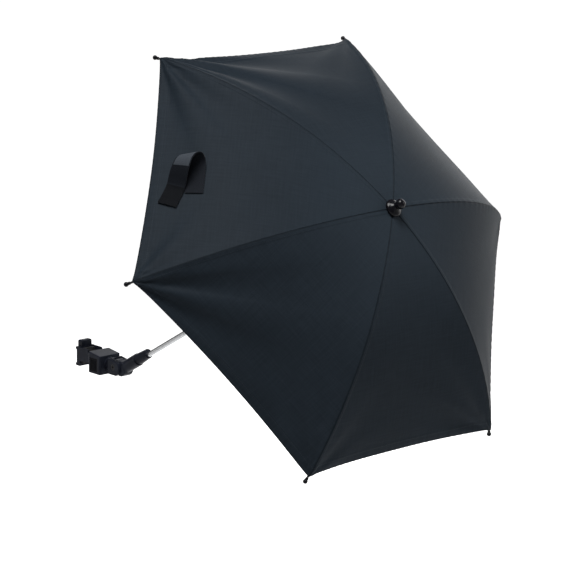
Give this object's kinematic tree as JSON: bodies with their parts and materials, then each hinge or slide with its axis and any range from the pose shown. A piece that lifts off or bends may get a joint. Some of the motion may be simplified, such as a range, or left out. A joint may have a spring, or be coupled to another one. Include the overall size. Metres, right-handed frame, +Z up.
{
  "type": "pram parasol",
  "caption": "Folding pram parasol with a ribbed fabric canopy on a metal shaft, a sliding runner, and a ratchet clamp with swivel and tilt joint for a pram tube.",
  "frame": {"origin": "centre of the clamp's grip, on the axis of the pram tube that it holds", "axes": "+Z up along the pram tube, +X from the clamp along the heading of the shaft, +Y across the parasol's plane of symmetry"},
  "size_m": [0.7176, 0.7066, 0.5342],
  "materials": {
    "black_plastic": "fine moulded texture",
    "button_plastic": "smooth moulded",
    "gloss_plastic": "polished moulding",
    "runner_plastic": "satin moulding",
    "grip_rubber": "matt",
    "shaft_metal": "satin anodised",
    "plated_steel": "zinc plated",
    "rib_steel": "black coated wire",
    "canopy_cloth": "plain woven polyester, satin",
    "strap_cloth": "woven polyester with hook and loop"
  },
  "bodies": {
    "clamp": {"clamp_body": "black_plastic", "clamp_cover": "black_plastic", "cover_screws": "plated_steel", "body_pad": "grip_rubber", "button_spring": "plated_steel", "swivel_base": "black_plastic", "swivel_bolt": "plated_steel", "swivel_nut": "plated_steel"},
    "jaw": {"clamp_jaw": "black_plastic", "jaw_pad": "grip_rubber"},
    "button": {"release_button": "button_plastic", "ratchet_pawl": "button_plastic"},
    "knuckle": {"knuckle_yoke": "black_plastic", "tilt_bolt": "rib_steel", "tilt_nut": "rib_steel"},
    "parasol": {"tube_socket": "black_plastic", "socket_screw": "plated_steel", "shaft_tube": "shaft_metal", "shaft_plug": "runner_plastic", "runner_catches": "plated_steel", "top_notch": "runner_plastic", "notch_pins": "plated_steel", "ferrule_cap": "gloss_plastic", "cap_screw": "plated_steel"},
    "slider": {"runner": "runner_plastic"},
    "canopy_rib_1": {"rib_1": "rib_steel", "rib_rivet_1": "plated_steel", "rib_tip_1": "gloss_plastic", "canopy_sector_1": "canopy_cloth"},
    "strut_1": {"stretcher_1": "rib_steel"},
    "canopy_rib_2": {"rib_2": "rib_steel", "rib_rivet_2": "plated_steel", "rib_tip_2": "gloss_plastic", "canopy_sector_2": "canopy_cloth"},
    "strut_2": {"stretcher_2": "rib_steel"},
    "canopy_rib_3": {"rib_3": "rib_steel", "rib_rivet_3": "plated_steel", "rib_tip_3": "gloss_plastic", "canopy_sector_3": "canopy_cloth"},
    "strut_3": {"stretcher_3": "rib_steel"},
    "canopy_rib_4": {"rib_4": "rib_steel", "rib_rivet_4": "plated_steel", "rib_tip_4": "gloss_plastic", "canopy_sector_4": "canopy_cloth"},
    "strut_4": {"stretcher_4": "rib_steel"},
    "canopy_rib_5": {"rib_5": "rib_steel", "rib_rivet_5": "plated_steel", "rib_tip_5": "gloss_plastic", "canopy_sector_5": "canopy_cloth", "tie_strap": "strap_cloth"},
    "strut_5": {"stretcher_5": "rib_steel"},
    "canopy_rib_6": {"rib_6": "rib_steel", "rib_rivet_6": "plated_steel", "rib_tip_6": "gloss_plastic", "canopy_sector_6": "canopy_cloth"},
    "strut_6": {"stretcher_6": "rib_steel"}
  },
  "joints": [
    {"name": "jaw_slide", "type": "slide", "parent": "clamp", "child": "jaw", "axis": [-1, 0, 0], "range_m": [-0.007, 0.009]},
    {"name": "button_press", "type": "slide", "parent": "clamp", "child": "button", "axis": [0, 1, 0], "range_m": [0, 0.0018], "stiffness_N_per_m": 900, "springref_m": -0.001, "deforming": ["button_spring"]},
    {"name": "swivel_turn", "type": "hinge", "parent": "clamp", "child": "knuckle", "pos_m": [0.0478, 0, -0.0033], "axis": [1, 0, 0], "range_deg": [-90, 90]},
    {"name": "tilt", "type": "hinge", "parent": "knuckle", "child": "parasol", "pos_m": [0.0655, 0, -0.0022], "axis": [0, 1, 0], "range_deg": [-60, 60]},
    {"name": "canopy_fold", "type": "hinge", "parent": "parasol", "child": "canopy_rib_1", "pos_m": [0.6417, 0.0045, 0.31831], "axis": [-0.2538, 0.866, 0.4308], "range_deg": [0, 62], "deforming": ["canopy_sector_1", "canopy_sector_2", "canopy_sector_3", "canopy_sector_4", "canopy_sector_5", "canopy_sector_6", "tie_strap", "runner_catches"]},
    {"name": "rib_2_fold", "type": "hinge", "parent": "parasol", "child": "canopy_rib_2", "pos_m": [0.63774, 0.009, 0.32503], "axis": [-0.5075, 0, 0.8616], "range_deg": [0, 62]},
    {"name": "rib_3_fold", "type": "hinge", "parent": "parasol", "child": "canopy_rib_3", "pos_m": [0.63379, 0.0045, 0.33174], "axis": [-0.2538, -0.866, 0.4308], "range_deg": [0, 62]},
    {"name": "rib_4_fold", "type": "hinge", "parent": "parasol", "child": "canopy_rib_4", "pos_m": [0.63379, -0.0045, 0.33174], "axis": [0.2538, -0.866, -0.4308], "range_deg": [0, 62]},
    {"name": "rib_5_fold", "type": "hinge", "parent": "parasol", "child": "canopy_rib_5", "pos_m": [0.63774, -0.009, 0.32503], "axis": [0.5075, 0, -0.8616], "range_deg": [0, 62]},
    {"name": "rib_6_fold", "type": "hinge", "parent": "parasol", "child": "canopy_rib_6", "pos_m": [0.6417, -0.0045, 0.31831], "axis": [0.2538, 0.866, -0.4308], "range_deg": [0, 62]},
    {"name": "stretcher_1_fold", "type": "hinge", "parent": "canopy_rib_1", "child": "strut_1", "pos_m": [0.68317, 0.08413, 0.18266], "axis": [-0.2538, 0.866, 0.4308], "range_deg": [-124, 0]},
    {"name": "stretcher_2_fold", "type": "hinge", "parent": "canopy_rib_2", "child": "strut_2", "pos_m": [0.60921, 0.16827, 0.30822], "axis": [-0.5075, 0, 0.8616], "range_deg": [-124, 0]},
    {"name": "stretcher_3_fold", "type": "hinge", "parent": "canopy_rib_3", "child": "strut_3", "pos_m": [0.53525, 0.08413, 0.43378], "axis": [-0.2538, -0.866, 0.4308], "range_deg": [-124, 0]},
    {"name": "stretcher_4_fold", "type": "hinge", "parent": "canopy_rib_4", "child": "strut_4", "pos_m": [0.53525, -0.08413, 0.43378], "axis": [0.2538, -0.866, -0.4308], "range_deg": [-124, 0]},
    {"name": "stretcher_5_fold", "type": "hinge", "parent": "canopy_rib_5", "child": "strut_5", "pos_m": [0.60921, -0.16827, 0.30822], "axis": [0.5075, 0, -0.8616], "range_deg": [-124, 0]},
    {"name": "stretcher_6_fold", "type": "hinge", "parent": "canopy_rib_6", "child": "strut_6", "pos_m": [0.68317, -0.08413, 0.18266], "axis": [0.2538, 0.866, -0.4308], "range_deg": [-124, 0]},
    {"name": "runner_slide", "type": "slide", "parent": "parasol", "child": "slider", "axis": [-0.8616, 0, -0.5075], "range_m": [0, 0.24611]}
  ],
  "couplings": [
    {"joint": "rib_2_fold", "follows": "canopy_fold", "ratio": 1},
    {"joint": "rib_3_fold", "follows": "canopy_fold", "ratio": 1},
    {"joint": "rib_4_fold", "follows": "canopy_fold", "ratio": 1},
    {"joint": "rib_5_fold", "follows": "canopy_fold", "ratio": 1},
    {"joint": "rib_6_fold", "follows": "canopy_fold", "ratio": 1},
    {"joint": "stretcher_1_fold", "follows": "canopy_fold", "ratio": -2},
    {"joint": "stretcher_2_fold", "follows": "canopy_fold", "ratio": -2},
    {"joint": "stretcher_3_fold", "follows": "canopy_fold", "ratio": -2},
    {"joint": "stretcher_4_fold", "follows": "canopy_fold", "ratio": -2},
    {"joint": "stretcher_5_fold", "follows": "canopy_fold", "ratio": -2},
    {"joint": "stretcher_6_fold", "follows": "canopy_fold", "ratio": -2},
    {"joint": "runner_slide", "follows": "canopy_fold", "m_per_rad": 0.22743}
  ]
}
